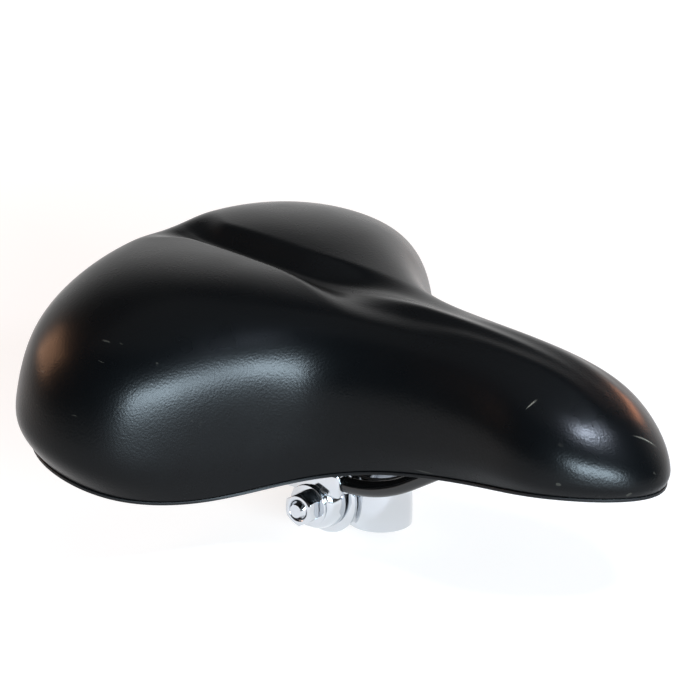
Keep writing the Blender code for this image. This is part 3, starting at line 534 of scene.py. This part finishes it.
TOP = 94 * MM                   # above the pan everywhere
RIB_WALL, RIB_CLEARANCE, RIB_FRONT = 2 * MM, 4 * MM, -13.7 * MM
half = BUSH_RADIUS + GAP + SOCKET_WALL
front = SOCKET_X + BUSH_LENGTH
rib_low = SOCKET_Z + RAIL_RADIUS + RIB_CLEARANCE
fittings = [block((front - 2 * RIB_WALL, -SOCKET_Y, rib_low), (front - RIB_WALL, SOCKET_Y, TOP))]
for side in (-1, 1):
    y = side * SOCKET_Y
    boss = block(
        (SOCKET_X - SOCKET_WALL - GAP, y - half, SOCKET_Z - half), (front, y + half, TOP), SOCKET_ROUND)
    cut(boss, rod(BUSH_RADIUS + GAP, 20 * MM, (SOCKET_X + 10 * MM, y, SOCKET_Z), "X"))
    rib = block((front - RIB_WALL, y - RIB_WALL / 2, rib_low), (RIB_FRONT, y + RIB_WALL / 2, TOP))
    fittings += [boss, rib]
# The nose pad, on the front loop and inside it.
pad_low, core_low = NOSE_Z + RAIL_RADIUS + GAP, NOSE_Z - RAIL_RADIUS
core_half = LOOP_HALF - RAIL_RADIUS - 2 * GAP
PAD_HEIGHT, PAD_OVERLAP = 60 * MM, 0.1 * MM
for half, low, tip, overlap in (
        (LOOP_HALF, pad_low, CLIP_FRONT, PAD_OVERLAP), (core_half, core_low, CORE_FRONT, 0.0)):
    fittings.append(block((CLIP_BACK, -half, low), (tip - half, half, TOP)))
    fittings.append(rod(half, PAD_HEIGHT, (tip - half - overlap, 0, low + PAD_HEIGHT / 2), "Z"))
for fitting in fittings:
    modify(fitting, "BOOLEAN", object=core, operation="INTERSECT", solver="EXACT")
bpy.data.objects.remove(core, do_unlink=True)
bpy.ops.object.select_all(action="DESELECT")
for item in fittings + [pan]:
    item.select_set(True)
bpy.context.view_layer.objects.active = pan
bpy.ops.object.join()
settle(pan, "moulded_pan", plastic, "base_shell", "saddle", 50)


# Rail. One length of 7 mm spring-steel wire, bent cold: both ends sit in the pan's rear sockets,
# the two runs pass through the clamp, and the front loop lies under the nose.
RAIL_Y, RAIL_Z = 21.5 * MM, 11 * MM
RUN_FRONT, RUN_BACK, SOCKET_RUN = 0.5 * MM, 46 * MM, 16 * MM
CLIMB = math.radians(30)        # from the clamp up to the nose
CLAMP_BEND, NOSE_BEND, REAR_BEND = 58 * MM, 24 * MM, 16 * MM
REAR_EASE = 0.55                # share of the rear bend radius that each rear corner takes up
BEND_STEPS = 16

# Black stove enamel on steel wire, dipped and baked: deep black and glossy, slightly rippled.
enamel, tree, shader = surface("black_enamelled_steel_wire", "#060606", 0.16, Specular_IOR_Level=0.6)
place = node(tree, "TexCoord").outputs["Object"]
RIPPLE = 3 * MM
ripple = node(tree, "TexNoise", {"Vector": place, "Scale": 1 / RIPPLE, "Detail": 2.0})
wave = node(tree, "Bump", {"Height": ripple.outputs["Fac"], "Strength": 0.06, "Distance": 0.2 * MM})
tree.links.new(wave.outputs["Normal"], shader.inputs["Normal"])

climb_start = RUN_FRONT + CLAMP_BEND * math.tan(CLIMB / 2)
climb_end = climb_start + (NOSE_Z - RAIL_Z) / math.tan(CLIMB)
left_corners = [
    Vector((SOCKET_X, SOCKET_Y, SOCKET_Z)),
    Vector((SOCKET_X + SOCKET_RUN + REAR_EASE * REAR_BEND, SOCKET_Y, SOCKET_Z)),
    Vector((-RUN_BACK - REAR_EASE * REAR_BEND, RAIL_Y, RAIL_Z)),
    Vector((climb_start, RAIL_Y, RAIL_Z)),
    Vector((climb_end, LOOP_HALF, NOSE_Z)),
    Vector((NOSE_X, LOOP_HALF, NOSE_Z)),
]
corners = left_corners + [Vector((point.x, -point.y, point.z)) for point in reversed(left_corners)]
bends = [REAR_BEND, REAR_BEND, CLAMP_BEND, NOSE_BEND, LOOP_HALF - GAP]
path = [corners[0]]
for before, corner, after, radius in zip(corners, corners[1:], corners[2:], bends + bends[::-1]):
    back, ahead = (before - corner).normalized(), (after - corner).normalized()
    half = back.angle(ahead) / 2
    centre = corner + (back + ahead).normalized() * (radius / math.sin(half))
    start = corner + back * (radius / math.tan(half)) - centre
    end = corner + ahead * (radius / math.tan(half)) - centre
    sweep = math.pi - 2 * half
    for k in range(BEND_STEPS + 1):
        turn = sweep * k / BEND_STEPS
        path.append(centre + (start * math.sin(sweep - turn) + end * math.sin(turn)) / math.sin(sweep))
path.append(corners[-1])
bend_line = bpy.data.curves.new("rail", "CURVE")
bend_line.dimensions = "3D"
bend_line.bevel_depth = RAIL_RADIUS
bend_line.bevel_resolution = 8
bend_line.use_fill_caps = True
spline = bend_line.splines.new("POLY")
spline.points.add(len(path) - 1)
for point, spot in zip(spline.points, path):
    point.co = (*spot, 1)
rail = bpy.data.objects.new("rail", bend_line)
bpy.context.collection.objects.link(rail)
pick(rail)
bpy.ops.object.convert(target="MESH")
rail = bpy.context.object
settle(rail, "bent_rail_wire", enamel, "rail_wire", "saddle", 60)


# Rear bushes. Moulded rubber sleeves that the wire's ends are pushed into, each with a collar that
# stops it at the socket's mouth.
COLLAR_STEP, COLLAR_LENGTH = 1.5 * MM, 2 * MM

# Black rubber, compression-moulded: matt charcoal, with a little grey dust in its surface.
rubber, tree, shader = surface("moulded_black_rubber", "#101010", 0.72, Specular_IOR_Level=0.35)
place = node(tree, "TexCoord").outputs["Object"]
DUST = 1.5 * MM
dust = node(tree, "TexNoise", {"Vector": place, "Scale": 1 / DUST, "Detail": 3.0})
tone = node(tree, "ValToRGB", {"Fac": dust.outputs["Fac"]})
tone.color_ramp.elements[0].color = linear("#0c0c0c")
tone.color_ramp.elements[1].color = linear("#1b1b1a")
tree.links.new(tone.outputs["Color"], shader.inputs["Base Color"])


def turned(rings, sides=96):
    """Extrudes a circle through rings of (radius, height); ends are capped, or joined if they meet."""
    radius, height = rings[0]
    bpy.ops.object.select_all(action="DESELECT")
    bpy.ops.mesh.primitive_circle_add(vertices=sides, radius=radius, location=(0, 0, height))
    item = bpy.context.object
    bpy.ops.object.transform_apply(location=True, rotation=True, scale=True)
    bpy.ops.object.mode_set(mode="EDIT")
    bpy.ops.mesh.select_all(action="SELECT")
    for next_radius, next_height in rings[1:]:
        bpy.ops.mesh.extrude_region_move(TRANSFORM_OT_translate={"value": (0, 0, next_height - height)})
        grow = next_radius / radius
        bpy.ops.transform.resize(value=(grow, grow, 1), center_override=(0, 0, 0))
        radius, height = next_radius, next_height
    bpy.ops.mesh.select_all(action="SELECT")
    if rings[0] == rings[-1]:
        bpy.ops.mesh.remove_doubles(threshold=0.001 * MM)
    else:
        bpy.ops.mesh.fill_holes(sides=0)
    bpy.ops.mesh.select_all(action="SELECT")
    bpy.ops.mesh.normals_make_consistent(inside=False)
    bpy.ops.object.mode_set(mode="OBJECT")
    return item


for side, end_name in ((1, "left"), (-1, "right")):
    bore, mouth, collar = RAIL_RADIUS + GAP, BUSH_LENGTH + GAP, BUSH_RADIUS + COLLAR_STEP
    bush = turned([
        (bore, GAP), (BUSH_RADIUS, GAP), (BUSH_RADIUS, mouth), (collar, mouth),
        (collar, mouth + COLLAR_LENGTH), (bore, mouth + COLLAR_LENGTH), (bore, GAP)], 64)
    soften(bush, 0.4 * MM)
    along = Matrix.Rotation(math.pi / 2, 4, "Y")
    bush.matrix_world = Matrix.Translation((SOCKET_X, side * SOCKET_Y, SOCKET_Z)) @ along
    settle(bush, "rubber_bush_" + end_name, rubber, "rail_bush_" + end_name, "saddle")


# Nose clip. A plate pressed from 2 mm steel strip, with a round front; two screws clamp it, and the
# front loop of the wire above it, up against the pan.
CLIP_PLATE, CLIP_COVER = 2 * MM, 0.6    # thickness, and share of the wire's radius covered beside it
SCREW_RADIUS, SCREW_PITCH = 2.1 * MM, 12 * MM

# Zinc plate on steel, electroplated and passivated: silvery and slightly dull, in faint patches.
zinc, tree, shader = surface("bright_zinc_plate", "#b9bdc2", 0.30, 1.0)
place = node(tree, "TexCoord").outputs["Object"]
SPANGLE = 2.5 * MM
spangle = node(tree, "TexVoronoi", {"Vector": place, "Scale": 1 / SPANGLE})
dull = node(tree, "MapRange", {"Value": spangle.outputs["Distance"], "To Min": 0.24, "To Max": 0.40})
tree.links.new(dull.outputs["Result"], shader.inputs["Roughness"])

clip_top = NOSE_Z - RAIL_RADIUS - GAP
clip_low, clip_middle = clip_top - CLIP_PLATE, clip_top - CLIP_PLATE / 2
clip_half = LOOP_HALF + CLIP_COVER * RAIL_RADIUS
clip = block((CLIP_BACK, -clip_half, clip_low), (CLIP_FRONT - clip_half, clip_half, clip_top))
cut(clip, rod(clip_half, CLIP_PLATE, (CLIP_FRONT - clip_half, 0, clip_middle), "Z", 96), "UNION")
middle = (CLIP_BACK + CORE_FRONT) / 2
screw_places = (("rear", middle - SCREW_PITCH / 2), ("front", middle + SCREW_PITCH / 2))
for _, x in screw_places:
    cut(clip, rod(SCREW_RADIUS + GAP, 4 * CLIP_PLATE, (x, 0, clip_middle), "Z"))
soften(clip, 0.4 * MM)
settle(clip, "pressed_nose_clip", zinc, "nose_clip", "saddle")


# Nose screws. Two zinc-plated self-tapping screws with round cross-recessed heads, driven up
# through the clip into the pan's nose pad.
SCREW_REACH, SCREW_ROOT, THREAD_STEP = 9 * MM, 1.7 * MM, 1.0 * MM
HEAD = ((4.2, 0.0), (4.1, 0.8), (3.5, 1.7), (2.2, 2.4))     # radius and depth under the seat in mm
CROSS_HALF, CROSS_WIDTH, CROSS_TOP = 2.4 * MM, 0.9 * MM, 1.1 * MM
for end_name, x in screw_places:
    top, base = clip_top + SCREW_REACH, clip_low - GAP
    rings = [(0.9 * MM, top), (SCREW_RADIUS, top - 1.5 * MM)]
    for k in range(6):                  # the thread, drawn as rings and coarser than it is
        out = top - 2.0 * MM - k * THREAD_STEP
        rings += [(SCREW_RADIUS, out), (SCREW_ROOT, out - 0.4 * MM)]
    rings += [(SCREW_RADIUS, base)] + [(radius * MM, base - depth * MM) for radius, depth in HEAD]
    screw = turned(rings, 48)
    for reach_x, reach_y in ((CROSS_WIDTH / 2, CROSS_HALF), (CROSS_HALF, CROSS_WIDTH / 2)):
        cut(screw, block((-reach_x, -reach_y, base - 3 * MM), (reach_x, reach_y, base - CROSS_TOP)))
    screw.location = (x, 0, 0)
    settle(screw, "nose_screw_" + end_name + "_turned", zinc, "nose_screw_" + end_name, "saddle")


# Seat-post band and inner plates. Pressed from steel: the band wraps the post, and its ears and the
# plates carry rings of radial teeth that lock the saddle's angle. The plates hold the wire inside.

# Decorative chrome over nickel on polished steel: a near mirror, faintly blue, hazy in patches and
# slightly uneven where it was pressed.
chrome, tree, shader = surface("bright_chrome_plate", "#d3d6da", 0.09, 1.0)
place = node(tree, "TexCoord").outputs["Object"]
SMEAR = 7 * MM
smears = node(tree, "TexNoise", {"Vector": place, "Scale": 1 / SMEAR, "Detail": 4.0})
haze = node(tree, "MapRange", {
    "Value": smears.outputs["Fac"], "From Min": 0.3, "From Max": 0.7, "To Min": 0.06, "To Max": 0.16})
tree.links.new(haze.outputs["Result"], shader.inputs["Roughness"])
press = node(tree, "Bump", {"Height": smears.outputs["Fac"], "Strength": 0.10, "Distance": 0.4 * MM})
tree.links.new(press.outputs["Normal"], shader.inputs["Normal"])

bodies = {
    "clamp_band": "seatpost_band", "inner_plate_left": "rail_clamps", "inner_plate_right": "rail_clamps"}
for name, body in bodies.items():
    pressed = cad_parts[name].copy()
    pressed.data = pressed.data.copy()
    bpy.context.collection.objects.link(pressed)
    pick(pressed)
    bpy.ops.object.mode_set(mode="EDIT")
    bpy.ops.mesh.select_all(action="SELECT")
    bpy.ops.mesh.remove_doubles(threshold=0.002 * MM)
    bpy.ops.mesh.dissolve_limited(angle_limit=math.radians(1))
    bpy.ops.mesh.normals_make_consistent(inside=False)
    bpy.ops.object.mode_set(mode="OBJECT")
    if pressed.data.has_custom_normals:
        bpy.ops.mesh.customdata_custom_splitnormals_clear()
    soften(pressed, 0.25 * MM, segments=2, angle=40)
    settle(pressed, "pressed_" + name, chrome, name, body, 32)


# Outer plates. Cups drawn from steel sheet and chromed, with a half-round seat that presses the
# wire against the inner plate.
BOLT_X, BOLT_RADIUS = -17.5 * MM, 4 * MM
BOLT_HOLE = BOLT_RADIUS + GAP
CUP_OUTER, SEAT_OUTER = 27.3 * MM, 27.1 * MM    # from the middle plane
CUP = (                         # radius and depth from the cup's face in mm
    (8.4, 0.0), (10.1, 0.7), (11.2, 2.0), (11.9, 4.0), (12.6, 9.1), (10.3, 9.1), (9.4, 4.2), (6.5, 2.3),
)
SEAT_HALF, SEAT_LENGTH, SEAT_ROUND, PLATE_RADIUS = 5.6 * MM, 30 * MM, 1.5 * MM, 16 * MM


def lay(item, side):
    """Lays a piece turned about Z along the bolt, towards one side."""
    pick(item)
    item.matrix_world = Matrix.Translation((BOLT_X, 0, 0)) @ Matrix.Rotation(-side * math.pi / 2, 4, "X")
    bpy.ops.object.transform_apply(location=True, rotation=True, scale=True)


for side, end_name in ((1, "left"), (-1, "right")):
    rings = [(radius * MM, CUP_OUTER - depth * MM) for radius, depth in CUP]
    face = (BOLT_HOLE, CUP_OUTER)
    cup = turned([face] + rings + [(BOLT_HOLE, rings[-1][1]), face])
    soften(cup, 0.45 * MM, angle=14)
    lay(cup, side)
    low, high = sorted((0.0, side * RAIL_Y))
    room_half = SEAT_LENGTH / 2 + GAP
    cut(cup, block((BOLT_X - room_half, low, RAIL_Z - SEAT_HALF - GAP),
                   (BOLT_X + room_half, high, PLATE_RADIUS)))
    low, high = sorted((side * (RAIL_Y + 2 * GAP), side * SEAT_OUTER))
    seat = block((BOLT_X - SEAT_LENGTH / 2, low, RAIL_Z - SEAT_HALF),
                 (BOLT_X + SEAT_LENGTH / 2, high, RAIL_Z + SEAT_HALF), SEAT_ROUND)
    cut(cup, seat, "UNION")
    cut(cup, rod(RAIL_RADIUS + GAP, 80 * MM, (BOLT_X, side * RAIL_Y, RAIL_Z), "X"))
    cut(cup, rod(BOLT_HOLE, 90 * MM, (BOLT_X, 0, 0), "Y"))
    settle(cup, "dished_plate_" + end_name, chrome, "outer_plate_" + end_name, "rail_clamps", 30)


# Washers. Plain stamped steel washers, chromed like the rest, between the cups and the nuts.
WASHER_RADIUS, WASHER_WALL = 9.3 * MM, 1.2 * MM
for side, end_name in ((1, "left"), (-1, "right")):
    inner = CUP_OUTER + GAP
    outer = inner + WASHER_WALL
    washer = turned([(BOLT_HOLE, inner), (WASHER_RADIUS, inner), (WASHER_RADIUS, outer), (BOLT_HOLE, outer),
                     (BOLT_HOLE, inner)])
    soften(washer, 0.3 * MM)
    lay(washer, side)
    settle(washer, "plain_washer_" + end_name, chrome, "washer_" + end_name, "rail_clamps")


# Nuts. M8 hexagon nuts, cold-forged with chamfered corners and chromed, one at each end of the stud.
NUT_INNER, NUT_OUTER, ACROSS_FLATS = 29.1 * MM, 35.6 * MM, 13 * MM
NUT_BORE, NUT_MOUTH, CHAMFER = 4.3 * MM, 5.1 * MM, math.radians(30)
FACE_RADIUS = 0.475 * ACROSS_FLATS      # of the flat ring that the chamfer leaves
for side, end_name in ((1, "left"), (-1, "right")):
    corner, height = ACROSS_FLATS / math.sqrt(3), NUT_OUTER - NUT_INNER
    centre = (BOLT_X, side * (NUT_INNER + NUT_OUTER) / 2, 0)
    nut = rod(corner, height - 0.03 * MM, centre, "Y", 6)
    slope = (corner - FACE_RADIUS) * math.tan(CHAMFER)
    shape = turned([(FACE_RADIUS, NUT_OUTER), (corner, NUT_OUTER - slope), (corner, NUT_INNER + slope),
                    (FACE_RADIUS, NUT_INNER)])
    lay(shape, side)
    cut(nut, shape, "INTERSECT")
    bore = turned([(NUT_MOUTH, NUT_OUTER + 0.1 * MM), (NUT_BORE, NUT_OUTER - 0.7 * MM),
                   (NUT_BORE, NUT_INNER + 0.7 * MM), (NUT_MOUTH, NUT_INNER - 0.1 * MM)])
    lay(bore, side)
    cut(nut, bore)
    soften(nut, 0.15 * MM, segments=2, angle=25)
    settle(nut, "hexagon_nut_" + end_name, chrome, "nut_" + end_name, "rail_clamps", 25)


# Bolt. An M8 stud with a rolled thread from end to end, chromed, that squeezes the whole stack; its
# chamfered ends show past the nuts.
PITCH, THREAD_ROOT, THREAD_CREST, STUD_END = 1.25 * MM, 3.45 * MM, 3.98 * MM, 2.9 * MM
OVERHANG = 1.5 * MM
end = NUT_OUTER + OVERHANG
count = int(2 * (end - 1 * MM) / PITCH)
rings = [(STUD_END, -end)]
for k in range(count):                  # the thread, drawn as rings
    out = -count * PITCH / 2 + k * PITCH
    rings += [(THREAD_ROOT, out + 0.1 * MM), (THREAD_CREST, out + PITCH / 2)]
rings += [(THREAD_ROOT, count * PITCH / 2 + 0.1 * MM), (STUD_END, end)]
stud = turned(rings, 64)
lay(stud, 1)
settle(stud, "threaded_stud", chrome, "clamp_bolt", "rail_clamps", 60)
